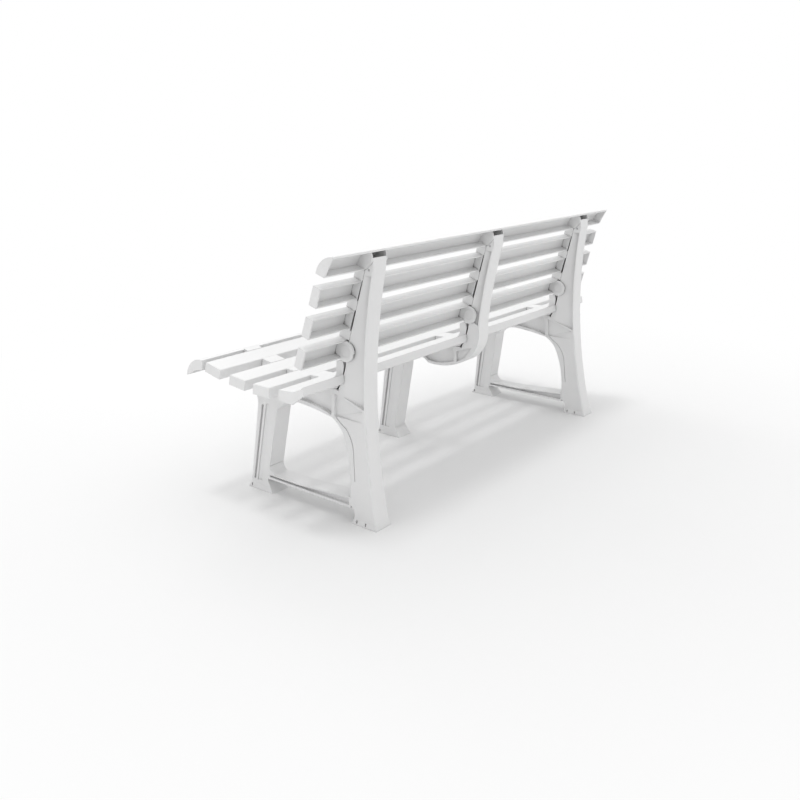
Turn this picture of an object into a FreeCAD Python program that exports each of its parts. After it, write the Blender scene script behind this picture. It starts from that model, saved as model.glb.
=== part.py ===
import FreeCAD, Part
import math
import os
import Sketcher

# Convertible picnic table bench, moulded in white plastic.
# X runs along the bench, the front of the seat faces -Y, Z is up, and the origin is on the floor
# under the middle. The whole back panel hinges at the tops of the three posts and swings up
# into a table top. Lengths are millimetres and angles are degrees.

doc = FreeCAD.newDocument("PicnicBench")
V = FreeCAD.Vector

SIZES = [
    # Whole bench
    ("slat_length", 1600.0),
    ("support_spacing", 609.0),
    ("support_width", 57.5),
    ("wall", 4.5),
    ("edge_round", 3.0),
    ("fit", 0.2),
    # Back panel, measured from the front lower corner of its lowest slat
    ("recline", 17.5),
    ("panel_foot_y", 146.0),
    ("panel_foot_z", 459.0),
    ("slat_depth", 29.0),
    ("back_rail_depth", 32.0),
    ("back_slat_width", 56.0),
    ("back_slat_pitch", 89.5),
    # Rolled slats at the top of the back and at the front of the seat
    ("roll_radius", 58.0),
    ("top_flat", 7.0),
    ("top_sweep", 75.0),
    ("top_flange", 32.0),
    ("lip_reach", 1.0),
    ("cap_bend", 17.4),
    ("nose_flat", 12.0),
    ("nose_sweep", 82.0),
    ("nose_rear_y", -233.0),
    ("nose_rear_z", 410.5),
    # Hinge of the back panel
    ("hinge_height", 274.6),
    ("hinge_depth", 46.1),
    ("hinge_pin_diameter", 8.0),
    ("hinge_running_gap", 0.05),
    ("hinge_eye_radius", 9.4),
    ("pin_bevel", 1.0),
    ("tongue_width", 20.0),
    ("tongue_root", 40.0),
    ("side_gap", 0.5),
    # Blocks on the back rails that rest against the posts between the slats
    ("rest_gap", 0.8),
    ("rest_inset", 3.0),
    # Ribs of the top slat on both sides of each post, each point up from the slat's lower edge
    # and behind its face
    ("pocket_rib", 4.0),
    ("rib_top_up", 48.9),
    ("rib_top_behind", 48.1),
    ("rib_crest_up", 33.3),
    ("rib_crest_behind", 53.0),
    ("rib_low_up", 6.6),
    ("rib_low_behind", 39.0),
    # Catch near the foot of each back rail
    ("catch_height", 27.0),
    ("catch_depth", 40.0),
    ("catch_cheek_radius", 29.0),
    ("catch_cheek_thickness", 6.5),
    ("catch_slot_depth", 3.5),
    ("catch_stud_diameter", 8.0),
    ("catch_stud_reach", 3.0),
    ("catch_stud_gap", 0.4),
    ("catch_lug_radius", 7.0),
    ("catch_ring_radius", 18.0),
    ("catch_ring_width", 3.0),
    ("catch_ring_height", 0.8),
    # Seat
    ("seat_low_y", 30.0),
    ("seat_low_z", 382.0),
    ("seat_curve_radius", 1100.0),
    ("seat_slat_width", 65.0),
    ("rear_slat_width", 92.0),
    ("second_slat_y", -215.0),
    ("third_slat_y", -111.0),
    ("fourth_slat_y", -14.0),
    ("rear_slat_y", 88.0),
    ("rear_slat_flat", 42.0),
    ("rear_slat_lift", 14.0),
    ("rear_slat_bend_lift", 6.3),
    ("rear_slat_flange", 9.0),
    ("rear_slat_turn", 12.0),
    ("tail_front_y", 153.0),
    ("tail_top_z", 440.0),
    ("tail_straight", 26.0),
    ("tail_throat", 6.0),
    ("seat_rail_low_back_y", 135.0),
    ("seat_rail_middle_y", -30.0),
    # Gap between the tails of the seat rails and the frames
    ("tail_gap_top", 13.5),
    ("tail_gap_knee", 6.7),
    ("tail_gap", 4.0),
    ("tail_gap_foot", 5.5),
    ("tail_gap_drop", 2.0),
    ("tail_relief", 7.0),
    # Posts, legs and feet
    ("post_knee_height", 57.0),
    ("post_knee_depth", 39.5),
    ("post_top_rise", 35.0),
    ("post_top_front", 13.1),
    ("post_top_back", 14.5),
    ("post_shoulder_step", 1.5),
    ("post_round", 4.5),
    ("post_lip", 2.0),
    ("post_flange", 5.0),
    ("post_recess", 13.0),
    ("post_recess_floor", 1.5),
    ("post_recess_top_z", 690.0),
    ("ledge_rear_z", 318.5),
    ("middle_ledge_rear_z", 440.0),
    ("foot_height", 16.0),
    ("foot_flare", 4.0),
    ("foot_slot_width", 5.0),
    ("foot_slot_depth", 8.0),
    ("foot_slot_low_z", 4.0),
    ("foot_slot_high_z", 12.0),
    ("toe_slot_y", -192.0),
    ("heel_slot_front_y", 231.0),
    ("heel_slot_rear_y", 262.0),
    ("front_foot_front_y", -204.0),
    ("front_foot_back_y", -103.0),
    ("rear_foot_front_y", 214.0),
    ("rear_foot_back_y", 302.0),
    ("beam_front_y", -214.0),
    ("beam_recess", 12.0),
    ("beam_recess_end_y", 126.0),
    ("beam_flange", 4.0),
    ("haunch_recess", 7.0),
    ("recess_slope", 1.0),
    ("groove_width", 3.0),
    ("groove_depth", 2.5),
    # Flutes in the sides of the front legs, started at the top and at the foot from the leg's front
    ("flute_start", 16.0),
    ("flute_start_low", 8.0),
    ("flute_width", 8.0),
    ("flute_depth", 8.0),
    ("wide_flute_start", 33.0),
    ("wide_flute_start_low", 23.0),
    ("wide_flute_width", 20.0),
    ("wide_flute_depth", 3.0),
    ("flute_low_z", 28.0),
    ("flute_high_z", 255.0),
    # Stretcher between the legs of an end frame
    ("stretcher_low_z", 40.0),
    ("stretcher_front_z", 55.0),
    ("stretcher_rear_z", 68.0),
    ("stretcher_flange", 6.0),
    ("stretcher_top", 3.0),
    ("stretcher_recess", 10.0),
    ("stretcher_bend", 31.0),
    ("stretcher_rise_y", 7.0),
]

# Points of the side view, each as its y and its z
POINTS = [
    # The rear of an end frame and of the middle frame
    ("waist", 257.5, 390.0),
    ("rear_ankle", 298.0, 16.0),
    ("middle_back", 251.0, 560.0),
    ("middle_hip", 229.0, 430.0),
    # The front leg
    ("shin_top", -168.0, 258.0),
    ("brow", -177.0, 293.0),
    ("brow_top", -198.0, 328.0),
    ("leg_toe", -195.0, 16.0),
    ("knee", -86.0, 256.0),
    ("front_ankle", -126.0, 33.0),
    # The arch between the legs of an end frame, from its rear foot forwards
    ("instep", 220.0, 18.0),
    ("instep_turn", 217.0, 38.0),
    ("inner_leg", 206.0, 46.0),
    ("spring", 206.0, 100.0),
    ("arch_side", 199.0, 178.0),
    ("haunch", 177.0, 242.0),
    ("haunch_turn", 160.6, 261.0),
    ("shoulder", 136.0, 277.0),
    ("arch_rear_rise", 62.0, 288.5),
    ("crown", 0.0, 293.5),
    ("arch_fall", -50.0, 281.0),
    # The underside of the middle frame
    ("hip_turn", 214.0, 356.0),
    ("belly_rear", 174.0, 316.0),
    ("belly_low", 92.0, 287.0),
    ("belly_front", 20.0, 286.0),
    ("hollow_turn", -10.0, 303.0),
    ("hollow_front", -46.0, 300.0),
    ("middle_knee", -76.0, 286.0),
    # The ledge on the side of an end frame where its post begins
    ("ledge_front", 178.0, 343.0),
    ("middle_ledge", 195.0, 455.0),
    # Recesses beside the arch
    ("recess_front", -52.0, 290.0),
    ("recess_front_turn", -8.0, 301.0),
    ("recess_low", 66.0, 296.5),
    ("recess_low_turn", 103.0, 291.5),
    ("recess_rear", 133.0, 283.0),
    ("recess_corner", 133.0, 330.0),
    ("recess_corner_turn", 130.0, 343.0),
    ("rib_foot", 146.0, 283.0),
    ("rib_head", 146.0, 347.0),
    ("haunch_recess_top", 251.0, 313.0),
    ("haunch_recess_low", 251.0, 283.0),
    ("haunch_floor_top", 246.0, 314.0),
    ("haunch_floor_low", 152.0, 284.0),
    ("groove_top", 150.0, 281.0),
    ("groove_middle", 166.0, 268.0),
    ("groove_turn", 187.5, 254.6),
    ("groove_haunch", 203.0, 235.0),
    ("groove_side", 216.0, 190.0),
    ("groove_foot", 221.0, 115.0),
    # Recesses in the sides of the middle frame
    ("belly_recess_front", -52.0, 310.0),
    ("belly_recess_turn", -6.0, 312.0),
    ("belly_recess_low", 20.0, 295.0),
    ("belly_recess_middle", 80.0, 294.0),
    ("belly_recess_rear", 128.0, 308.0),
    ("belly_recess_corner", 128.0, 330.0),
    ("belly_recess_corner_turn", 126.0, 343.0),
    ("hip_recess_foot", 140.0, 308.0),
    ("hip_recess_head", 140.0, 343.0),
    ("hip_recess_top", 200.0, 362.0),
    ("hip_recess_low", 172.0, 325.0),
    # The back of a seat rail's tail
    ("tail_back_top", 177.0, 444.0),
    ("tail_back_knee", 180.5, 427.0),
    ("tail_back_middle", 176.5, 404.0),
    ("tail_back_foot", 154.0, 362.0),
]

for name, y, z in POINTS:
    SIZES += [(name + "_y", y), (name + "_z", z)]

sheet = doc.addObject("Spreadsheet::Sheet", "Sizes")
for row, (alias, size) in enumerate(SIZES, start=1):
    sheet.set("A%d" % row, alias)
    sheet.set("B%d" % row, repr(size))
    sheet.setAlias("B%d" % row, alias)
doc.recompute()


def cell(alias):
    return float(sheet.get(alias))


def spot(name):
    """A named point of the side view."""
    return cell(name + "_y"), cell(name + "_z")


wall = cell("wall")
fit = cell("fit")
width = cell("support_width")
depth = cell("slat_depth")
rail_depth = cell("back_rail_depth")
pitch = cell("back_slat_pitch")
lean = math.radians(cell("recline"))
parts = []


# Sketching helpers. A path is a list of points, where a tuple of two points is an arc's
# middle and end.

def origin_plane(body, role):
    return [feature for feature in body.Origin.OriginFeatures if feature.Role == role][0]


def new_body(label):
    body = doc.addObject("PartDesign::Body", label)
    body.Label = label
    parts.append(body)
    return body


def new_sketch(body, name, role="YZ_Plane", offset=None):
    sketch = body.newObject("Sketcher::SketchObject", name)
    sketch.AttachmentSupport = [(origin_plane(body, role), "")]
    sketch.MapMode = "FlatFace"
    if offset:
        sketch.setExpression("AttachmentOffset.Base.z", offset)
    return sketch


def path_sketch(body, name, path, role="YZ_Plane", offset=None):
    sketch = new_sketch(body, name, role, offset)
    start = path[0]
    last = start
    for step in path[1:] + [start]:
        if isinstance(step[0], tuple):
            middle, end = step
            sketch.addGeometry(Part.Arc(V(*last, 0), V(*middle, 0), V(*end, 0)))
        else:
            end = step
            if math.dist(last, end) < 0.001:
                continue
            sketch.addGeometry(Part.LineSegment(V(*last, 0), V(*end, 0)))
        last = end
    return sketch


def box_sketch(body, name, low, high, role="YZ_Plane", offset=None):
    """A rectangle whose four sides are bound to formulas in the sheet's names."""
    sketch = new_sketch(body, name, role, offset)
    corners = [V(-1, -1, 0), V(1, -1, 0), V(1, 1, 0), V(-1, 1, 0)]
    for index in range(4):
        sketch.addGeometry(Part.LineSegment(corners[index], corners[(index + 1) % 4]))
    for index in range(4):
        sketch.addConstraint(Sketcher.Constraint("Coincident", index, 2, (index + 1) % 4, 1))
        turn = "Horizontal" if index % 2 == 0 else "Vertical"
        sketch.addConstraint(Sketcher.Constraint(turn, index))
    for corner, (across, up) in ((1, low), (3, high)):
        line = 0 if corner == 1 else 2
        for kind, formula in (("DistanceX", across), ("DistanceY", up)):
            size = corners[0 if line == 0 else 2][0 if kind == "DistanceX" else 1]
            constraint = sketch.addConstraint(Sketcher.Constraint(kind, -1, 1, line, 1, size))
            sketch.setExpression("Constraints[%d]" % constraint, formula)
    return sketch


def circle_sketch(body, name, centre, *diameters):
    """Circles round one centre, such as a bore, or the two edges of a ring."""
    sketch = new_sketch(body, name)
    for number, diameter in enumerate(diameters, start=1):
        circle = sketch.addGeometry(Part.Circle(V(*centre, 0), V(0, 0, 1), 5 * number))
        constraint = sketch.addConstraint(Sketcher.Constraint("Diameter", circle, 10 * number))
        sketch.setExpression("Constraints[%d]" % constraint, diameter)
    return sketch


def pad(body, sketch, length, name):
    feature = body.newObject("PartDesign::Pad", name)
    feature.Profile = sketch
    feature.SideType = "Symmetric"
    feature.setExpression("Length", length)
    body.Tip = feature
    return feature


def pocket(body, sketch, length, name, symmetric=True, reverse=False):
    """Cuts the sketch out of the body and stops if it took nothing away."""
    doc.recompute()
    before = body.Shape.Volume
    feature = body.newObject("PartDesign::Pocket", name)
    feature.Profile = sketch
    if symmetric:
        feature.SideType = "Symmetric"
    feature.Reversed = reverse
    feature.setExpression("Length", length)
    body.Tip = feature
    check_cut(body, name, before)
    return feature


def check_cut(body, name, before):
    doc.recompute()
    if body.Shape.Volume > before - 1:
        raise RuntimeError("%s cut nothing out of %s" % (name, body.Label))


def both_sides(body, name, path, cut_depth, half="support_width / 2"):
    """Sinks a side view into both sides of a body, from half of its width inwards."""
    for side, sign in (("left", "-"), ("right", "")):
        sketch = path_sketch(body, "%s_%s_outline" % (name, side), path, "YZ_Plane",
                             named("%s(%s)" % (sign, half)))
        pocket(body, sketch, named(cut_depth), "%s_%s" % (name, side), False, side == "left")


def sloped_sides(body, name, path, floor_path, cut_depth):
    """Sinks a recess into both sides, from an outline at the surface to another at its floor."""
    for side, sign in (("left", "-"), ("right", "")):
        doc.recompute()
        before = body.Shape.Volume
        outer = path_sketch(body, "%s_%s_outline" % (name, side), path, "YZ_Plane",
                            named(sign + "support_width / 2"))
        inner = path_sketch(body, "%s_%s_floor" % (name, side), floor_path, "YZ_Plane",
                            named("%s(support_width / 2 - %s)" % (sign, cut_depth)))
        loft = body.newObject("PartDesign::SubtractiveLoft", "%s_%s" % (name, side))
        loft.Profile = outer
        loft.Sections = [inner]
        loft.Ruled = True
        body.Tip = loft
        check_cut(body, name, before)


def row_of_supports(body, feature, name):
    """Repeats a feature made at the left support at the other supports."""
    row = body.newObject("PartDesign::LinearPattern", name)
    row.Originals = [feature]
    row.Direction = (origin_plane(body, "YZ_Plane"), [""])
    row.setExpression("Length", "2 * Sizes.support_spacing")
    row.Occurrences = len(supports)
    body.Tip = row


def place(body, x, y, z, turn):
    body.setExpression("Placement", "placement(vector(%s; %s; %s); rotation(vector(1; 0; 0); %s))"
                       % (x, y, z, turn))


def from_panel(height, behind):
    """World (y, z) of a point of the back panel, up along it and behind its front face."""
    y = cell("panel_foot_y") + height * math.sin(lean) + behind * math.cos(lean)
    z = cell("panel_foot_z") + height * math.cos(lean) - behind * math.sin(lean)
    return y, z


def in_panel(y, z):
    across = y - cell("panel_foot_y")
    up = z - cell("panel_foot_z")
    return (across * math.sin(lean) + up * math.cos(lean),
            up * math.sin(lean) - across * math.cos(lean))


def seat_curve(y, drop=0.0):
    """Height of the seat's curve at y, or of the curve a drop below it."""
    radius = cell("seat_curve_radius") + drop
    run = y - cell("seat_low_y")
    return cell("seat_low_z") + cell("seat_curve_radius") - math.sqrt(radius ** 2 - run ** 2)


def along(start, end, share):
    return (start[0] + (end[0] - start[0]) * share, start[1] + (end[1] - start[1]) * share)


supports = [("left", -1), ("middle", 0), ("right", 1)]
hinge = from_panel(cell("hinge_height"), cell("hinge_depth"))
stud = from_panel(cell("catch_height"), cell("catch_depth"))
cheek_gap = "(support_width + 2 * side_gap)"
cheek_span = "(support_width + 2 * side_gap + 2 * catch_cheek_thickness)"


def named(formula):
    """Puts the sheet's name before each alias in a formula."""
    for alias, _ in sorted(SIZES, key=lambda item: -len(item[0])):
        formula = formula.replace(alias, "@" + str([a for a, _ in SIZES].index(alias)) + "@")
    for index, (alias, _) in enumerate(SIZES):
        formula = formula.replace("@%d@" % index, "Sizes." + alias)
    return formula


def post_notches(body, name, low, high, clearance):
    """Notches through a slat's flanges, one at each support."""
    half = "(support_width / 2 + %s)" % clearance
    sketch = box_sketch(body, name + "_outline",
                        (named("-support_spacing - %s" % half), named(low)),
                        (named("-support_spacing + %s" % half), named(high)),
                        "XY_Plane", named("-slat_depth - roll_radius"))
    cut = pocket(body, sketch, named("slat_depth + roll_radius - wall"), name, False, True)
    row_of_supports(body, cut, name + "_row")


def support_cut(body, name, path):
    """Cuts a side view out of a slat, as wide as the supports, at each support."""
    sketch = path_sketch(body, name + "_outline", path, "YZ_Plane", "-Sizes.support_spacing")
    cut = pocket(body, sketch, named("support_width + 2 * fit"), name)
    row_of_supports(body, cut, name + "_row")


def straight_slat(label, slat_width, x, y, z, turn):
    """A channel with closed ends, smooth face up at z = 0, from y = 0 across its width."""
    body = new_body(label)
    outline = box_sketch(body, "outline", ("0", named("-slat_depth")), (named(slat_width), "0"))
    block = pad(body, outline, named("slat_length"), "block")
    doc.recompute()
    rounded = body.newObject("PartDesign::Fillet", "rounded_edges")
    rounded.Base = (block, top_edges(block.Shape))
    rounded.setExpression("Radius", "Sizes.edge_round")
    body.Tip = rounded
    hollow = box_sketch(body, "hollow_outline",
                        (named("-slat_length / 2 + wall"), named("wall")),
                        (named("slat_length / 2 - wall"), named("%s - wall" % slat_width)),
                        "XY_Plane", named("-slat_depth"))
    pocket(body, hollow, named("slat_depth - wall"), "hollow", False, True)
    post_notches(body, "rail_notch", "-wall", "%s + wall" % slat_width, "fit")
    place(body, x, y, z, turn)
    return body


def top_edges(shape):
    """Names of the edges round the smooth face, which lies at z = 0."""
    return ["Edge%d" % (index + 1) for index, edge in enumerate(shape.Edges)
            if abs(edge.BoundBox.ZMin) < 0.01 and abs(edge.BoundBox.ZMax) < 0.01]


def rolled_path(flat, sweep, flange, inset):
    """Section of a rolled slat, or of its hollow where inset is the wall."""
    radius = cell("roll_radius")
    angle = math.radians(sweep)
    outer = radius - inset

    def on_roll(turn):
        return flat + outer * math.sin(turn), -radius + outer * math.cos(turn)

    lip = on_roll(angle)
    if inset:
        end = angle - inset / (2 * radius)
        lip = on_roll(end)
        return [(inset, -inset), (flat, -inset), (on_roll(end / 2), lip),
                (lip[0] - inset, -2 * radius), (inset, -2 * radius)]
    return [(0, 0), (flat, 0), (on_roll(angle / 2), lip), (lip[0] + cell("lip_reach"), lip[1] - wall / 2),
            (lip[0] - wall, lip[1] - wall / 2), (flat + cell("cap_bend"), -flange - wall), (0, -flange)]


def rolled_slat(label, flat, sweep, flange, clearance, place_formulas):
    body = new_body(label)
    outline = path_sketch(body, "outline", rolled_path(cell(flat), cell(sweep), cell(flange), 0))
    pad(body, outline, named("slat_length"), "block")
    hollow = path_sketch(body, "hollow_outline",
                         rolled_path(cell(flat), cell(sweep), cell(flange), wall))
    pocket(body, hollow, named("slat_length - 2 * wall"), "hollow")
    post_notches(body, "post_notch", "-wall", "wall + fit", clearance)
    place(body, *place_formulas)
    return body


# Back panel

PANEL_TURN = "90 - Sizes.recline"


def panel_place(height):
    return ("0", "Sizes.panel_foot_y + (%s) * sin(Sizes.recline)" % height,
            "Sizes.panel_foot_z + (%s) * cos(Sizes.recline)" % height, PANEL_TURN)


back_slats = 3
for number in range(back_slats):
    straight_slat("back_slat_%d" % (number + 1), "back_slat_width",
                  *panel_place("%d * Sizes.back_slat_pitch" % number))
top_slat = rolled_slat("back_slat_top", "top_flat", "top_sweep", "top_flange", "side_gap",
                       panel_place("%d * Sizes.back_slat_pitch" % back_slats))


def top_rib_outline():
    """Section of a rib inside the top slat, from within its face to its rear edge."""
    inside = wall / 2
    flat = cell("top_flat")
    radius = cell("roll_radius")
    rim = radius - inside
    end = math.radians(cell("top_sweep")) - wall / radius
    return [(inside, -inside), (flat, -inside),
            ((flat + rim * math.sin(end / 2), rim * math.cos(end / 2) - radius),
             (flat + rim * math.sin(end), rim * math.cos(end) - radius)),
            (cell("rib_top_up"), -cell("rib_top_behind")),
            (cell("rib_crest_up"), -cell("rib_crest_behind")),
            (cell("rib_low_up"), -cell("rib_low_behind")),
            (inside, -cell("top_flange") + inside)]


for side, sign in (("left", "-"), ("right", "+")):
    offset = named("-support_spacing %s (support_width / 2 + side_gap + pocket_rib / 2)" % sign)
    sketch = path_sketch(top_slat, "%s_rib_outline" % side, top_rib_outline(), "YZ_Plane", offset)
    rib = pad(top_slat, sketch, "Sizes.pocket_rib", "%s_rib" % side)
    row_of_supports(top_slat, rib, "%s_rib_row" % side)

# World places of the front of a post, which the back rails rest against
post_front_knee = from_panel(cell("post_knee_height"), cell("post_knee_depth"))
post_front_top = (hinge[0] - cell("post_top_front"), hinge[1])


def post_face(height):
    """How far the front of a post lies behind the panel's face at a height."""
    knee = in_panel(*post_front_knee)
    top = in_panel(*post_front_top)
    return (top[1] - knee[1]) * (knee[0] - height) / (top[0] - knee[0]) - knee[1]


def rail_outline():
    """Side view of a back rail, stepped behind each slat's face and towards the post between them."""
    front = []
    rear = []
    inset = cell("rest_inset")
    for number in range(back_slats):
        foot = number * pitch
        crest = foot + cell("back_slat_width")
        above = foot + pitch - (fit if number == back_slats - 1 else 0)
        behind = rail_depth if number else depth
        front += [(foot, -wall), (crest, -wall), (crest, 0), (above, 0)]
        rear += [(foot, -behind), (crest + inset, -behind)]
        for height in (crest + inset, foot + pitch - inset):
            rear.append((height, cell("rest_gap") - post_face(height)))
        rear.append((foot + pitch - inset, -rail_depth))
    return front + [(above, -rail_depth)] + rear[::-1]


def tangent_point(start, centre, radius, side):
    """Where the tangent from start touches the circle."""
    reach = math.dist(start, centre)
    heading = math.atan2(centre[1] - start[1], centre[0] - start[0])
    opening = math.asin(radius / reach)
    angle = heading + side * (opening + math.pi / 2)
    return (centre[0] + radius * math.cos(angle), centre[1] + radius * math.sin(angle))


def tongue_outline():
    """Side view of the tongue, from the rail to the hinge eye and under the top slat's face."""
    eye = (cell("hinge_height"), -cell("hinge_depth"))
    radius = cell("hinge_eye_radius")
    top = back_slats * pitch
    low = top - cell("tongue_root")
    root = (low, -rail_depth)
    touch = tangent_point(root, eye, radius, -1)
    flat_end = top + cell("top_flat")
    inner = cell("roll_radius") - wall
    edge = eye[0] + radius
    drop = inner - math.sqrt(inner ** 2 - (edge - flat_end) ** 2)
    half_turn = math.sqrt(0.5) * radius
    return [root, touch, ((eye[0] + half_turn, eye[1] - half_turn), (edge, eye[1])),
            (edge, -wall - drop), (flat_end, -wall), (top, -wall),
            (top - fit - wall, -wall), (low, -depth + wall)]


def cheek_outline(centre):
    """Side view of a catch cheek: a tab inside the lowest slat under a half disc."""
    radius = cell("catch_cheek_radius")
    chord = -depth - fit
    reach = math.sqrt(radius ** 2 - (centre[1] - chord) ** 2)
    inside = wall + fit
    far = cell("back_slat_width") - inside
    return [(inside, -wall), (far, -wall), (far, chord), (centre[0] + reach, chord),
            ((centre[0], centre[1] - radius), (centre[0] - reach, chord)), (inside, chord)]


def stud_slot_outline(centre):
    """Side view of the slot that takes the stud, widened along the stud's own swing."""
    radius = cell("catch_stud_diameter") / 2 + cell("catch_stud_gap")
    mouth = cell("catch_cheek_radius") + wall
    swing = math.dist((cell("hinge_height"), -cell("hinge_depth")), centre)
    rise = mouth ** 2 / (2 * swing)
    return [(centre[0] - radius, centre[1] - mouth), (centre[0] + radius + rise, centre[1] - mouth),
            (centre[0] + radius, centre[1]),
            ((centre[0], centre[1] + radius), (centre[0] - radius, centre[1]))]


for label, side in supports:
    rail = new_body("back_rail_" + label)
    pad(rail, path_sketch(rail, "outline", rail_outline()), named("support_width"), "block")
    pad(rail, path_sketch(rail, "tongue_outline", tongue_outline()), named("tongue_width"), "tongue")
    catch = (cell("catch_height"), -cell("catch_depth"))
    pad(rail, path_sketch(rail, "cheek_outline", cheek_outline(catch)), named(cheek_span), "cheeks")
    ring = circle_sketch(rail, "ring_outline", catch, named("2 * catch_ring_radius"),
                         named("2 * (catch_ring_radius - catch_ring_width)"))
    pad(rail, ring, named(cheek_span + " + 2 * catch_ring_height"), "rings")
    gap = box_sketch(rail, "post_gap_outline", ("-2 * Sizes.catch_cheek_radius", named("-4 * slat_depth")),
                     (named("catch_height + catch_cheek_radius + rest_inset / 2"), named("-slat_depth")))
    pocket(rail, gap, named(cheek_gap), "post_gap")
    slot = path_sketch(rail, "stud_slot_outline", stud_slot_outline(catch))
    pocket(rail, slot, named(cheek_gap + " + 2 * catch_slot_depth"), "stud_slot")
    bore = circle_sketch(rail, "pin_bore_outline", (cell("hinge_height"), -cell("hinge_depth")),
                         named("hinge_pin_diameter + 2 * hinge_running_gap"))
    pocket(rail, bore, named("support_width"), "pin_bore")
    place(rail, "%d * Sizes.support_spacing" % side, "Sizes.panel_foot_y", "Sizes.panel_foot_z", PANEL_TURN)


# Seat slats and rails

def seat_slat_place(front, slat_width):
    """Front top corner and turn of a seat slat that lies along the seat's curve."""
    centre = front + slat_width / 2
    turn = math.asin((centre - cell("seat_low_y")) / cell("seat_curve_radius"))
    y = centre - slat_width / 2 * math.cos(turn)
    z = seat_curve(centre) - slat_width / 2 * math.sin(turn)
    return y, z, turn


SEAT_SLATS = [("seat_slat_2", "second_slat_y", "seat_slat_width"),
              ("seat_slat_3", "third_slat_y", "seat_slat_width"),
              ("seat_slat_4", "fourth_slat_y", "seat_slat_width")]

steps = []
for label, front, slat_width in SEAT_SLATS:
    y, z, turn = seat_slat_place(cell(front), cell(slat_width))
    slat = straight_slat(label, slat_width, "0", repr(y), repr(z), repr(math.degrees(turn)))
    along_y, along_z = math.cos(turn), math.sin(turn)
    for distance, drop in ((0, 0), (0, wall), (cell(slat_width), wall), (cell(slat_width), 0)):
        steps.append((y + distance * along_y + drop * along_z, z + distance * along_z - drop * along_y))

tail_notch_y = cell("rear_slat_y") + cell("rear_slat_flat")


def rear_slat_path(inset):
    """Section of the rear seat slat, which turns up behind, or of its hollow."""
    front = cell("rear_slat_y") + inset
    turn_up = tail_notch_y + cell("rear_slat_turn")
    back = cell("rear_slat_y") + cell("rear_slat_width") - inset
    bend = back - cell("rear_slat_turn")
    under = cell("seat_low_z") - depth * (3 if inset else 1)
    top = [(front, seat_curve(front) - inset),
           ((turn_up + front) / 2, seat_curve((turn_up + front) / 2) - inset),
           (turn_up, seat_curve(turn_up) - inset),
           (bend, seat_curve(bend) + cell("rear_slat_bend_lift") - inset),
           (back, seat_curve(back) + cell("rear_slat_lift") - inset)]
    if inset:
        return top + [(back, under), (turn_up, under), (front, under)]
    return top + [(back + cell("edge_round"), seat_curve(back) - cell("rear_slat_flange")),
                  (turn_up, under), (front, under)]


rear_slat = new_body("seat_slat_rear")
pad(rear_slat, path_sketch(rear_slat, "outline", rear_slat_path(0)), named("slat_length"), "block")
pocket(rear_slat, path_sketch(rear_slat, "hollow_outline", rear_slat_path(wall)),
       named("slat_length - 2 * wall"), "hollow")
low = cell("seat_low_z") - 2 * depth
high = cell("seat_low_z") + 2 * depth
notch_front = cell("rear_slat_y") - wall
notch_back = cell("rear_slat_y") + cell("rear_slat_width") + depth
support_cut(rear_slat, "rail_notch",
            [(notch_front, low), (tail_notch_y, low), (tail_notch_y, seat_curve(tail_notch_y) - wall),
             (notch_front, seat_curve(notch_front) - wall)])
support_cut(rear_slat, "tail_notch",
            [(tail_notch_y, low), (notch_back, low), (notch_back, high), (tail_notch_y, high)])

nose = rolled_slat("seat_slat_front", "nose_flat", "nose_sweep", "slat_depth", "fit",
                   ("0", "0", "0", "0"))
nose.setExpression("Placement", "placement(vector(0; Sizes.nose_rear_y; Sizes.nose_rear_z); "
                   "rotation(vector(0; 0; 1); 180))")


def under_seat(y):
    """Point on the underside of the seat rails, which is the top of the frames."""
    return y, seat_curve(y, depth)


def seat_rail_outline():
    nose_y = cell("nose_rear_y")
    nose_z = cell("nose_rear_z")
    front = nose_y - cell("nose_flat")
    rear_y = cell("rear_slat_y")
    tail_y = cell("tail_front_y")
    tail_z = cell("tail_top_z")
    notch_z = seat_curve(tail_notch_y)
    throat = (tail_y - cell("tail_throat"), notch_z + 2 * wall)
    return [(front, nose_z - wall), (nose_y, nose_z - wall), (nose_y, seat_curve(nose_y))] + steps + [
        (rear_y, seat_curve(rear_y)), (rear_y, seat_curve(rear_y) - wall),
        (tail_notch_y, notch_z - wall), (tail_notch_y, notch_z),
        (throat, (tail_y, tail_z - cell("tail_straight"))), (tail_y, tail_z),
        spot("tail_back_top"), spot("tail_back_knee"), (spot("tail_back_middle"), spot("tail_back_foot")),
        under_seat(cell("seat_rail_low_back_y")),
        (under_seat(cell("seat_rail_middle_y")), under_seat(front + wall))]


for label, side in supports:
    rail = new_body("seat_rail_" + label)
    pad(rail, path_sketch(rail, "outline", seat_rail_outline()), named("support_width"), "block")
    place(rail, "%d * Sizes.support_spacing" % side, "0", "0", "0")


# Frames

def beside(name, gap, rise=0.0):
    """The frame's point behind a point of the seat rail's tail."""
    y, z = spot(name)
    return y + cell(gap), z + rise


post_back_top = (hinge[0] + cell("post_top_back"), hinge[1] + cell("post_top_rise"))
post_shoulder = (post_back_top[0] + cell("post_shoulder_step"), hinge[1])
end_back = (post_shoulder, spot("waist"), spot("rear_ankle"))
middle_back = (post_shoulder, spot("middle_back"), spot("middle_hip"))
post_front_foot = beside("tail_back_top", "tail_gap_top")
beam_front = under_seat(cell("beam_front_y"))

# From the rail's tail to the front of the beam, and down the front of the leg
top_side = [post_front_foot, beside("tail_back_knee", "tail_gap_knee"),
            (beside("tail_back_middle", "tail_gap"),
             beside("tail_back_foot", "tail_gap_foot", -cell("tail_gap_drop"))),
            under_seat(cell("seat_rail_low_back_y")), (under_seat(cell("seat_rail_middle_y")), beam_front)]
leg_front = [(cell("front_foot_back_y"), 0), (cell("front_foot_front_y"), 0), spot("leg_toe"),
             spot("shin_top"), (spot("brow"), spot("brow_top"))]


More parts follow.
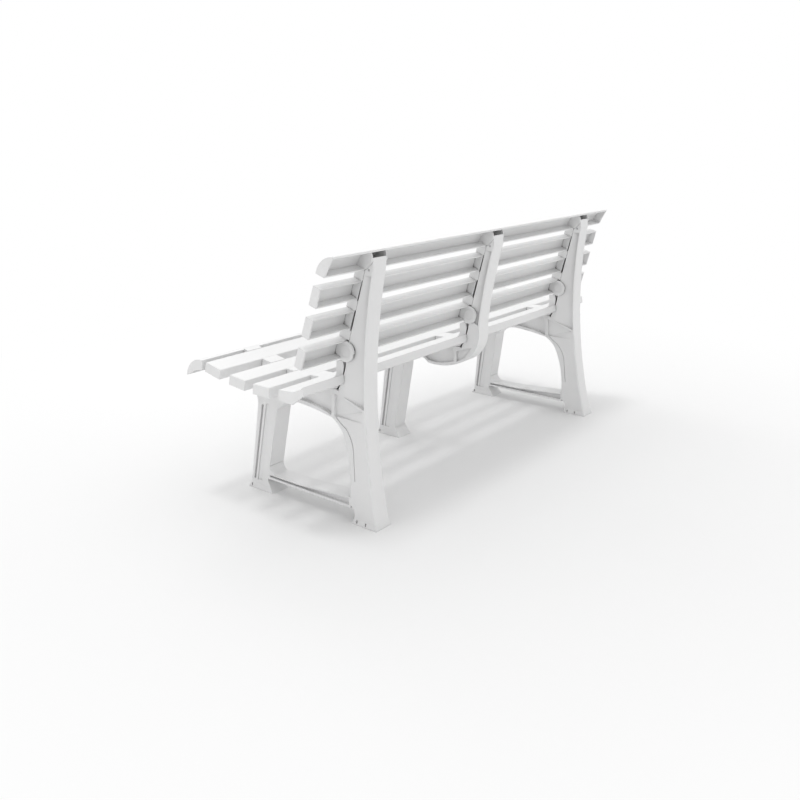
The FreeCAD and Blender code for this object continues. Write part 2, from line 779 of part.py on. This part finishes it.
def reversed_path(path):
    """The same path walked from its other end."""
    ends = [step if not isinstance(step[0], tuple) else step[1] for step in path]
    walked = [ends[-1]]
    for index in range(len(path) - 1, 0, -1):
        step = path[index]
        walked.append((step[0], ends[index - 1]) if isinstance(step[0], tuple) else ends[index - 1])
    return walked


def end_frame_outline():
    return [post_front_knee, post_front_top, post_back_top, post_shoulder, end_back[1:],
            (cell("rear_foot_back_y"), 0), (cell("rear_foot_front_y"), 0), spot("instep"),
            (spot("instep_turn"), spot("inner_leg")), spot("spring"), (spot("arch_side"), spot("haunch")),
            (spot("haunch_turn"), spot("shoulder")), (spot("arch_rear_rise"), spot("crown")),
            (spot("arch_fall"), spot("knee")), spot("front_ankle")] + leg_front + reversed_path(top_side)


def middle_frame_outline():
    return [post_front_knee, post_front_top, post_back_top, post_shoulder, middle_back[1:],
            (spot("hip_turn"), spot("belly_rear")), (spot("belly_low"), spot("belly_front")),
            (spot("hollow_turn"), spot("hollow_front")), (spot("middle_knee"), spot("knee")),
            spot("front_ankle")] + leg_front + reversed_path(top_side)


def back_circle(back):
    """Centre and radius of the arc along the rear of a frame."""
    circle = Part.Arc(*[V(*point, 0) for point in back]).toShape().Curve
    return circle.Center.x, circle.Center.y, circle.Radius


def before_back(back, inset, z):
    """Point at height z, an inset in front of the rear of a frame."""
    y, middle_z, radius = back_circle(back)
    return y - math.sqrt((radius + inset) ** 2 - (z - middle_z) ** 2), z


def back_step(back, inset, start_z, end_z):
    """The arc of a path that follows the rear of a frame from one height to another."""
    return before_back(back, inset, (start_z + end_z) / 2), before_back(back, inset, end_z)


def post_hollow(back, low_z):
    """The hollow of a post, open at its front and top."""
    front = post_front_foot[0] - width
    above = post_back_top[1] + width
    high_z = post_shoulder[1]
    top = before_back(back, wall, high_z)
    return [(front, above), (top[0], above), top, back_step(back, wall, high_z, low_z), (front, low_z)]


def post_side(back, ledge, rear_z):
    """Recess in a post's side: its outline at the surface, and the narrow strip that is its floor."""
    high_z = cell("post_recess_top_z")
    lip = cell("post_lip")
    knee_z = post_front_knee[1]
    share = (high_z - knee_z) / (post_front_top[1] - knee_z)
    top_front = along(post_front_knee, post_front_top, share)
    flange = cell("post_flange")
    strip = flange + cell("post_recess_floor")
    corner = before_back(back, flange, high_z)
    outline = [ledge, (post_front_knee[0] + lip, knee_z), (top_front[0] + lip, high_z), corner,
               back_step(back, flange, high_z, rear_z)]
    floor_end = along(before_back(back, flange, rear_z), ledge, cell("post_recess_floor") / width)
    floor = [floor_end, back_step(back, strip, floor_end[1], knee_z),
             back_step(back, strip, knee_z, high_z), corner, back_step(back, flange, high_z, rear_z)]
    return outline, floor


def flute(start, start_low, flute_width):
    """A groove along the front leg, between two lines and round at its top."""
    foot, shin = spot("leg_toe"), spot("shin_top")

    def on_leg(z, inset):
        point = along(foot, shin, (z - foot[1]) / (shin[1] - foot[1]))
        return point[0] + inset, z

    low, high = cell("flute_low_z"), cell("flute_high_z")
    front = on_leg(high, start)
    return [on_leg(low, start_low), front,
            ((front[0] + flute_width / 2, high + flute_width / 2), (front[0] + flute_width, high)),
            on_leg(low, start_low + flute_width)]


def beam_recess(path):
    """Closes a recess under the seat's curve, with a rounded rear corner."""
    def under_top(y):
        return y, seat_curve(y, depth) - cell("beam_flange")

    corner, corner_turn = path[-2:]
    start_y = path[0][0]
    end_y = cell("beam_recess_end_y")
    return path[:-1] + [(corner_turn, under_top(end_y)),
                        (under_top((start_y + end_y) / 2), under_top(start_y))]


def groove(path):
    """A narrow band along a path of points and arcs."""
    shift = cell("groove_width") * math.sqrt(0.5)

    def moved(step):
        if isinstance(step[0], tuple):
            return tuple(moved(point) for point in step)
        return step[0] + shift, step[1] + shift

    return path + reversed_path([moved(step) for step in path])


def foot_flare(body, name, front, back, top_front, top_back):
    """Widens a foot towards the floor."""
    half = "(support_width / 2 + foot_flare)"
    low = box_sketch(body, name + "_sole", (named("-" + half), named(front)),
                     (named(half), named(back)), "XY_Plane")
    high = box_sketch(body, name + "_top", (named("-support_width / 2"), repr(top_front)),
                      (named("support_width / 2"), repr(top_back)), "XY_Plane", "Sizes.foot_height")
    loft = body.newObject("PartDesign::AdditiveLoft", name)
    loft.Profile = low
    loft.Sections = [high]
    loft.Ruled = True
    body.Tip = loft


def foot_slot(body, name, middle):
    y = cell(middle)
    half = cell("foot_slot_width") / 2
    low, high = cell("foot_slot_low_z"), cell("foot_slot_high_z")
    both_sides(body, name, [(y - half, low), (y + half, low), (y + half, high), (y - half, high)],
               "foot_slot_depth", "support_width / 2 + foot_flare")


def at_foot_height(point, foot_y):
    """The y at which a leg's edge, from a point down to the floor, passes the top of the foot."""
    return along((foot_y, 0), point, cell("foot_height") / point[1])[0]


def make_frame(label, side, outline, back, hollow_low_z, ledge, rear_z):
    body = new_body(label)
    block = pad(body, path_sketch(body, "outline", outline), named("support_width"), "block")
    doc.recompute()
    radius = back_circle(back)[2]
    edges = ["Edge%d" % (index + 1) for index, edge in enumerate(block.Shape.Edges)
             if edge.Curve.TypeId == "Part::GeomCircle" and abs(edge.Curve.Radius - radius) < 0.01]
    rounded = body.newObject("PartDesign::Fillet", "rounded_back")
    rounded.Base = (block, edges)
    rounded.setExpression("Radius", "Sizes.post_round")
    body.Tip = rounded
    leg_back = at_foot_height(spot("front_ankle"), cell("front_foot_back_y"))
    foot_flare(body, "front_foot", "front_foot_front_y", "front_foot_back_y", cell("leg_toe_y"), leg_back)
    pad(body, circle_sketch(body, "lug_outline", stud, named("2 * catch_lug_radius")),
        named("support_width"), "lug")
    pocket(body, path_sketch(body, "post_hollow_outline", post_hollow(back, hollow_low_z)),
           named("tongue_width + 2 * side_gap"), "post_hollow")
    outer, floor = post_side(back, ledge, rear_z)
    sloped_sides(body, "post_side", outer, floor, "post_recess")
    for name in ("flute", "wide_flute"):
        path = flute(cell(name + "_start"), cell(name + "_start_low"), cell(name + "_width"))
        both_sides(body, name, path, name + "_depth")
    gap_end = beside("tail_back_foot", "tail_gap", -cell("tail_gap_drop"))
    relief = circle_sketch(body, "tail_relief_outline", gap_end, named("tail_relief"))
    pocket(body, relief, named("support_width + wall"), "tail_relief")
    foot_slot(body, "toe_slot", "toe_slot_y")
    bore = circle_sketch(body, "stud_bore_outline", stud, named("catch_stud_diameter"))
    pocket(body, bore, named("support_width + wall"), "stud_bore")
    bore = circle_sketch(body, "pin_bore_outline", hinge, named("hinge_pin_diameter"))
    pocket(body, bore, named("support_width + wall"), "pin_bore")
    place(body, "%d * Sizes.support_spacing" % side, "0", "0", "0")
    return body


hollow_low_z = cell("panel_foot_z") - cell("back_slat_pitch")
for label, side in supports:
    if not side:
        body = make_frame("middle_frame", side, middle_frame_outline(), middle_back, cell("panel_foot_z"),
                          spot("middle_ledge"), cell("middle_ledge_rear_z"))
        both_sides(body, "belly_recess", beam_recess(
            [spot("belly_recess_front"), spot("belly_recess_turn"), spot("belly_recess_low"),
             (spot("belly_recess_middle"), spot("belly_recess_rear")),
             spot("belly_recess_corner"), spot("belly_recess_corner_turn")]), "beam_recess")
        both_sides(body, "hip_recess", [spot("hip_recess_foot"), spot("hip_recess_head"),
                                        spot("hip_recess_top"), spot("hip_recess_low")], "haunch_recess")
        continue
    body = make_frame("end_frame_" + label, side, end_frame_outline(), end_back, hollow_low_z,
                      spot("ledge_front"), cell("ledge_rear_z"))
    foot_flare(body, "rear_foot", "rear_foot_front_y", "rear_foot_back_y",
               at_foot_height(spot("instep"), cell("rear_foot_front_y")), cell("rear_ankle_y"))
    foot_slot(body, "heel_slot_front", "heel_slot_front_y")
    foot_slot(body, "heel_slot_rear", "heel_slot_rear_y")
    both_sides(body, "beam_recess", beam_recess(
        [spot("recess_front"), (spot("recess_front_turn"), spot("recess_low")),
         (spot("recess_low_turn"), spot("recess_rear")),
         spot("recess_corner"), spot("recess_corner_turn")]), "beam_recess")
    slope = cell("recess_slope")
    foot, head = spot("rib_foot"), spot("rib_head")
    sloped_sides(body, "haunch_recess",
                 [foot, head, spot("haunch_recess_top"), spot("haunch_recess_low")],
                 [(foot[0] + slope, foot[1] + slope), (head[0] + slope, head[1] - slope),
                  spot("haunch_floor_top"), spot("haunch_floor_low")], "haunch_recess")
    both_sides(body, "arch_groove", groove(
        [spot("groove_top"), (spot("groove_middle"), spot("groove_turn")),
         (spot("groove_haunch"), spot("groove_side")), spot("groove_foot")]), "groove_depth")


def on_leg_back(z):
    """Point at height z on the straight back of an end frame's front leg."""
    ankle, knee = spot("front_ankle"), spot("knee")
    return along(ankle, knee, (z - ankle[1]) / (knee[1] - ankle[1]))


def stretcher_outline():
    low, high = cell("stretcher_low_z"), cell("stretcher_front_z")
    bend = cell("stretcher_bend")
    rear_y = cell("inner_leg_y")
    bend_start = (on_leg_back(high)[0] + bend, high)
    bend_middle = (bend_start[0] - bend * math.sin(math.pi / 4), high + bend * (1 - math.cos(math.pi / 4)))
    return [(rear_y, low), (rear_y, cell("stretcher_rear_z")), (cell("stretcher_rise_y"), high), bend_start,
            (bend_middle, on_leg_back(high + bend)), on_leg_back(low)]


def stretcher_recess():
    """The hollow side of a stretcher, between its lower flange and its top."""
    floor = cell("stretcher_low_z") + cell("stretcher_flange")
    under = cell("stretcher_front_z") - cell("stretcher_top")
    front_y = on_leg_back(floor)[0] + cell("stretcher_flange")
    rear_y = cell("inner_leg_y") - cell("stretcher_flange")
    return [(front_y, floor), (front_y, under), (cell("stretcher_rise_y"), under),
            (rear_y, cell("stretcher_rear_z") - cell("stretcher_top")), (rear_y, floor)]


for label, side in supports:
    if not side:
        continue
    body = new_body("stretcher_" + label)
    pad(body, path_sketch(body, "outline", stretcher_outline()), named("support_width"), "block")
    both_sides(body, "web", stretcher_recess(), "stretcher_recess")
    place(body, "%d * Sizes.support_spacing" % side, "0", "0", "0")


# Hinge pins and catch studs, turned about their own axis

def turned_pin(label, side, centre, half, radius, bevel):
    body = new_body(label)
    path = [(-half, 0), (-half, radius - bevel), (bevel - half, radius),
            (half - bevel, radius), (half, radius - bevel), (half, 0)]
    sketch = path_sketch(body, "half_section", path, "XY_Plane")
    turn = body.newObject("PartDesign::Revolution", "turned")
    turn.Profile = sketch
    turn.ReferenceAxis = (sketch, ["H_Axis"])
    turn.Angle = 360
    body.Tip = turn
    place(body, "%d * Sizes.support_spacing" % side, repr(centre[0]), repr(centre[1]), "0")


for label, side in supports:
    turned_pin("hinge_pin_" + label, side, hinge, width / 2,
               cell("hinge_pin_diameter") / 2, cell("pin_bevel"))
    turned_pin("catch_stud_" + label, side, stud, width / 2 + cell("catch_stud_reach"),
               cell("catch_stud_diameter") / 2, cell("pin_bevel"))

doc.recompute()
for thing in doc.Objects:
    if "Invalid" in thing.State or "Error" in thing.State:
        raise RuntimeError("%s failed: %s" % (thing.Name, thing.State))
os.makedirs("parts", exist_ok=True)
for part in parts:
    if part.Shape.isNull() or not part.Shape.isValid():
        raise RuntimeError("%s has no sound shape" % part.Label)
for part in parts:
    box = part.Shape.BoundBox
    print("%-20s %8.1f cm3  y %7.1f %7.1f  z %7.1f %7.1f  solids %d"
          % (part.Label, part.Shape.Volume / 1000, box.YMin, box.YMax, box.ZMin, box.ZMax,
             len(part.Shape.Solids)))
    part.Shape.exportStep("parts/%s.step" % part.Label)
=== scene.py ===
import math

import bmesh
import bpy
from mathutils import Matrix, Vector


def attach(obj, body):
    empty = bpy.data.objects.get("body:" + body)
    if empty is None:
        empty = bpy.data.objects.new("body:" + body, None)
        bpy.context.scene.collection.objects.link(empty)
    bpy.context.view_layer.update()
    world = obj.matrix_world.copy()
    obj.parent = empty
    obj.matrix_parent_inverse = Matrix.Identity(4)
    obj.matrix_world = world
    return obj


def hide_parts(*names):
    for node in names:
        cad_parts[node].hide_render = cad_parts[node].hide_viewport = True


# A convertible picnic table bench in white plastic. Lengths are metres from the floor under its
# middle, X runs along the bench and the front of the seat faces -Y. Angles are degrees.

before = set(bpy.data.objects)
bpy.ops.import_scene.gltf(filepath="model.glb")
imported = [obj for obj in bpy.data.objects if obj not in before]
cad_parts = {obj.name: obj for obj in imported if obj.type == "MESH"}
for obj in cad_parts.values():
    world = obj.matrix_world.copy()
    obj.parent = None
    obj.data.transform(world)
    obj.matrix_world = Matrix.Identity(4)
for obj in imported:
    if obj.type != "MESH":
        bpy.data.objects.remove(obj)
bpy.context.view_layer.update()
scene = bpy.context.scene
scene.view_settings.view_transform = "Standard"

CAMERA_PLACE = (2.509, 1.866, 1.113)
CAMERA_HEADING = 128.43
CAMERA_LENS = 40.46
CAMERA_SENSOR = 36
LENS_SHIFT = -0.348
VIEW_DEPTH = 60

# Surface of the plastic: the pale and the dull white of its flow marks, a painted shade for its
# corners, and a painted shade, near black, for the narrow joints between pieces
PALE_WHITE = (0.855, 0.855, 0.855, 1)
DULL_WHITE = (0.815, 0.815, 0.815, 1)
PAINTED_CORNER_SHADE = (0.7, 0.7, 0.7, 1)
PAINTED_JOINT_SHADE = (0.10, 0.10, 0.098, 1)
CORNER_SHADE_REACH = 0.06
JOINT_SHADE_REACH = 0.012
EDGE_RADIUS = 0.0013
WAVE_HEIGHT = 0.0006
SLAT_GRAIN_HEIGHT = 0.00012
FRAME_GRAIN_HEIGHT = 0.00018

BRIGHT_STEEL = (0.60, 0.60, 0.61, 1)
DULL_STEEL = (0.48, 0.48, 0.485, 1)
RING_HEIGHT = 0.00005

# Meshes of the pieces
SAME_POINT = 0.00002
FLAT_ANGLE = 0.4
SHARP_ANGLE = 24

# Floor and light
FLOOR_WHITE = (0.88, 0.88, 0.88, 1)
WHITE = (1, 1, 1, 1)
FLOOR_HALF = 20
FADE_START = 0.8
FADE_END = 2.3
KEY_PLACE = (0.14, -0.086, 1.0)
KEY_STRENGTH = 0.45
KEY_SOFTNESS = 11
FRONT_PLACE = (-0.6, -2.0, 2.0)
FRONT_TARGET = (0, 0, 0.4)
FRONT_WATTS = 7
FRONT_SIZE = 0.9
HORIZON_LIGHT = 0.58
OVERHEAD_LIGHT = 1.08


# Camera: level, with the lens shifted down, as a product photographer frames a bench.
camera = bpy.data.objects.new("camera", bpy.data.cameras.new("camera"))
scene.collection.objects.link(camera)
camera.location = CAMERA_PLACE
camera.rotation_euler = (math.radians(90), 0, math.radians(CAMERA_HEADING))
camera.data.sensor_width = CAMERA_SENSOR
camera.data.lens = CAMERA_LENS
camera.data.shift_y = LENS_SHIFT
camera.data.clip_end = VIEW_DEPTH
scene.camera = camera


# Shader maths on sockets

class Socket:
    """One output of a shader node, with the arithmetic that the materials use."""

    def __init__(self, finish, out):
        self.finish = finish
        self.out = out

    def maths(self, operation, first, second):
        return self.finish.node("ShaderNodeMath", {"operation": operation}, {0: first, 1: second})

    def __add__(self, other):
        return self.maths("ADD", self, other)

    __radd__ = __add__

    def __mul__(self, other):
        return self.maths("MULTIPLY", self, other)

    __rmul__ = __mul__

    def __sub__(self, other):
        return self.maths("SUBTRACT", self, other)

    def __rsub__(self, other):
        return self.maths("SUBTRACT", other, self)

    def ramp(self, low, high):
        """0 below low, 1 above high, and smooth between."""
        return self.finish.node("ShaderNodeMapRange", {"interpolation_type": "SMOOTHSTEP"},
                                {"Value": self, "From Min": low, "From Max": high})


class Finish:
    """The nodes of a material, or of the light that comes from all round."""

    def __init__(self, made):
        self.made = made
        made.use_nodes = True
        self.tree = made.node_tree
        self.tree.nodes.clear()

    def node(self, kind, settings, inputs, out=0):
        """A node of one type, with its settings made first, and one of its outputs."""
        made = self.tree.nodes.new(kind)
        for name, value in settings.items():
            setattr(made, name, value)
        for name, value in inputs.items():
            if isinstance(value, Socket):
                self.tree.links.new(value.out, made.inputs[name])
            else:
                made.inputs[name].default_value = value
        return Socket(self, made.outputs[out]) if made.outputs else made

    def place(self):
        return self.node("ShaderNodeTexCoord", {}, {}, "Object")

    def noise(self, place, scale, detail):
        return self.node("ShaderNodeTexNoise", {}, {"Vector": place, "Scale": scale, "Detail": detail})

    def stretched(self, place, scale):
        return self.node("ShaderNodeMapping", {}, {"Vector": place, "Scale": scale})

    def blend(self, share, first, second):
        """A colour between two, by share."""
        return self.node("ShaderNodeMix", {"data_type": "RGBA"},
                         {"Factor": share, 6: first, 7: second}, 2)

    def bump(self, height, distance, strength, below=None):
        """A surface raised by height, on top of the one below."""
        inputs = {"Height": height, "Distance": distance, "Strength": strength}
        if below:
            inputs["Normal"] = below
        return self.node("ShaderNodeBump", {}, inputs)

    def openness(self, reach, own):
        """How open a place is, from 0 deep in a corner: of the piece alone, or among them all."""
        return self.node("ShaderNodeAmbientOcclusion", {"samples": 6, "only_local": own},
                         {"Distance": reach}, "AO")

    def seen(self):
        """1 where the camera looks, straight or in a shine, and 0 for light on the bench."""
        camera, shine, through = (
            self.node("ShaderNodeLightPath", {}, {}, ray)
            for ray in ("Is Camera Ray", "Is Glossy Ray", "Is Transmission Ray"))
        return (camera + shine + through).ramp(0.0, 1.0)

    def surface(self, shader):
        self.node("ShaderNodeOutputMaterial", {}, {"Surface": shader})
        return self.made


# Finishes

def moulded_plastic(name, grain_scale, grain_height, flow, joint_shade):
    """White polypropylene: a satin skin with a fine grain, faint flow marks and eased edges.

    Its corners are painted a duller white as shade, and its last argument, from 0 to 1, paints
    shade, near black, into the narrow joints between pieces.
    """
    finish = Finish(bpy.data.materials.new(name))
    place = finish.place()
    flow_marks = finish.noise(finish.stretched(place, flow), 6.0, 4.0)
    grain = finish.noise(place, grain_scale, 2.0)
    waves = finish.noise(place, 16.0, 1.0)
    unshaded_colour = finish.blend(flow_marks.ramp(0.25, 0.75), DULL_WHITE, PALE_WHITE)
    # Painted shade: the narrow joints between pieces are painted near black, by how enclosed they are
    # among all pieces.
    own_gap = finish.openness(JOINT_SHADE_REACH, True)
    painted_joint_shade = (own_gap - finish.openness(JOINT_SHADE_REACH, False)).ramp(0.3, 0.75) * joint_shade
    # Painted shade: the colour turns a duller white in corners, by how enclosed each place is.
    painted_corner_shade = finish.openness(CORNER_SHADE_REACH, False).ramp(0.1, 0.9)
    colour = finish.blend(painted_joint_shade, finish.blend(painted_corner_shade, PAINTED_CORNER_SHADE, unshaded_colour), PAINTED_JOINT_SHADE)
    rough = flow_marks * 0.14 + grain * 0.08 + 0.30
    edges = finish.node("ShaderNodeBevel", {"samples": 4}, {"Radius": EDGE_RADIUS})
    skin = finish.bump(grain, grain_height, 0.5, finish.bump(waves, WAVE_HEIGHT, 0.35, edges))
    return finish.surface(finish.node("ShaderNodeBsdfPrincipled", {}, {
        "Base Color": colour, "Roughness": rough, "Normal": skin, "Specular IOR Level": 0.45}))


def pin_steel():
    """Turned steel: fine rings round the pin, and a duller film in places."""
    finish = Finish(bpy.data.materials.new("turned_steel"))
    place = finish.place()
    rings = finish.noise(finish.stretched(place, (1600.0, 40.0, 40.0)), 1.0, 2.0)
    film = finish.noise(place, 60.0, 3.0).ramp(0.35, 0.75)
    return finish.surface(finish.node("ShaderNodeBsdfPrincipled", {}, {
        "Base Color": finish.blend(film, BRIGHT_STEEL, DULL_STEEL), "Metallic": 1.0,
        "Roughness": film * 0.15 + rings * 0.1 + 0.26,
        "Normal": finish.bump(rings, RING_HEIGHT, 0.4)}))


# The frames get the painted joint shade in full; the slats get none.
slat_plastic = moulded_plastic("slat_plastic", 900.0, SLAT_GRAIN_HEIGHT, (0.25, 2.0, 2.0), 0.0)
frame_plastic = moulded_plastic("frame_plastic", 1300.0, FRAME_GRAIN_HEIGHT, (1.0, 1.0, 0.35), 1.0)
steel = pin_steel()


# Pieces: each solid with its curved faces smooth. Its finish eases the edges.

def smooth_piece(name, finish):
    """A copy of a solid whose curved faces are smooth, which stands in for it."""
    mesh = bmesh.new()
    mesh.from_mesh(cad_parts[name].data)
    bmesh.ops.remove_doubles(mesh, verts=mesh.verts, dist=SAME_POINT)
    bmesh.ops.dissolve_limit(mesh, angle_limit=math.radians(FLAT_ANGLE),
                             use_dissolve_boundaries=False, verts=mesh.verts, edges=mesh.edges)
    data = bpy.data.meshes.new(name + "_moulded")
    mesh.to_mesh(data)
    mesh.free()
    data.materials.clear()
    data.materials.append(finish)
    data.shade_smooth()
    data.set_sharp_from_angle(angle=math.radians(SHARP_ANGLE))
    piece = bpy.data.objects.new(name + "_moulded", data)
    scene.collection.objects.link(piece)
    normals = piece.modifiers.new("face_normals", "WEIGHTED_NORMAL")
    normals.keep_sharp = True
    normals.weight = 100
    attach(piece, "back_panel" if name.startswith("back_") else "bench_frame")
    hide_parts(name)


for name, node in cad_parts.items():
    if name.startswith("hinge_pin"):
        for holder in node.material_slots:
            holder.material = steel
    else:
        smooth_piece(name, slat_plastic if "slat" in name else frame_plastic)


# Floor and light

def stage_floor():
    """A pale floor that keeps the shadows near the bench and runs out into a white background."""
    finish = Finish(bpy.data.materials.new("studio_floor"))
    place = finish.place()
    distance = finish.node("ShaderNodeVectorMath", {"operation": "LENGTH"}, {0: place}, "Value")
    paint = finish.node("ShaderNodeBsdfDiffuse", {}, {"Color": FLOOR_WHITE})
    white = finish.node("ShaderNodeEmission", {}, {"Color": WHITE, "Strength": 1.0})
    faded = distance.ramp(FADE_START, FADE_END) * finish.seen()
    finish.surface(finish.node("ShaderNodeMixShader", {}, {0: faded, 1: paint, 2: white}))
    mesh = bmesh.new()
    bmesh.ops.create_grid(mesh, x_segments=1, y_segments=1, size=FLOOR_HALF)
    data = bpy.data.meshes.new("floor")
    mesh.to_mesh(data)
    mesh.free()
    floor = bpy.data.objects.new("floor", data)
    data.materials.append(finish.made)
    scene.collection.objects.link(floor)


def lamp(name, kind, place, towards, energy):
    """A lamp that points from its place towards another point."""
    data = bpy.data.lights.new(name, kind)
    data.energy = energy
    made = bpy.data.objects.new(name, data)
    made.location = place
    made.rotation_euler = (Vector(towards) - Vector(place)).to_track_quat("-Z", "Y").to_euler()
    scene.collection.objects.link(made)
    return data


def studio_world():
    """Light from all round, stronger from above, on a white background."""
    scene.world = bpy.data.worlds.new("studio")
    sky = Finish(scene.world)
    direction = sky.node("ShaderNodeTexCoord", {}, {}, "Generated")
    height = sky.node("ShaderNodeSeparateXYZ", {}, {"Vector": direction}, "Z")
    level = sky.node("ShaderNodeMapRange", {}, {
        "Value": height, "To Min": HORIZON_LIGHT, "To Max": OVERHEAD_LIGHT})
    light = sky.node("ShaderNodeBackground", {}, {
        "Color": WHITE, "Strength": level + sky.seen() * (1.0 - level)})
    sky.node("ShaderNodeOutputWorld", {}, {"Surface": light})


stage_floor()
key = lamp("key", "SUN", KEY_PLACE, (0, 0, 0), KEY_STRENGTH)
key.angle = math.radians(KEY_SOFTNESS)
front = lamp("front", "AREA", FRONT_PLACE, FRONT_TARGET, FRONT_WATTS)
front.size = FRONT_SIZE
studio_world()
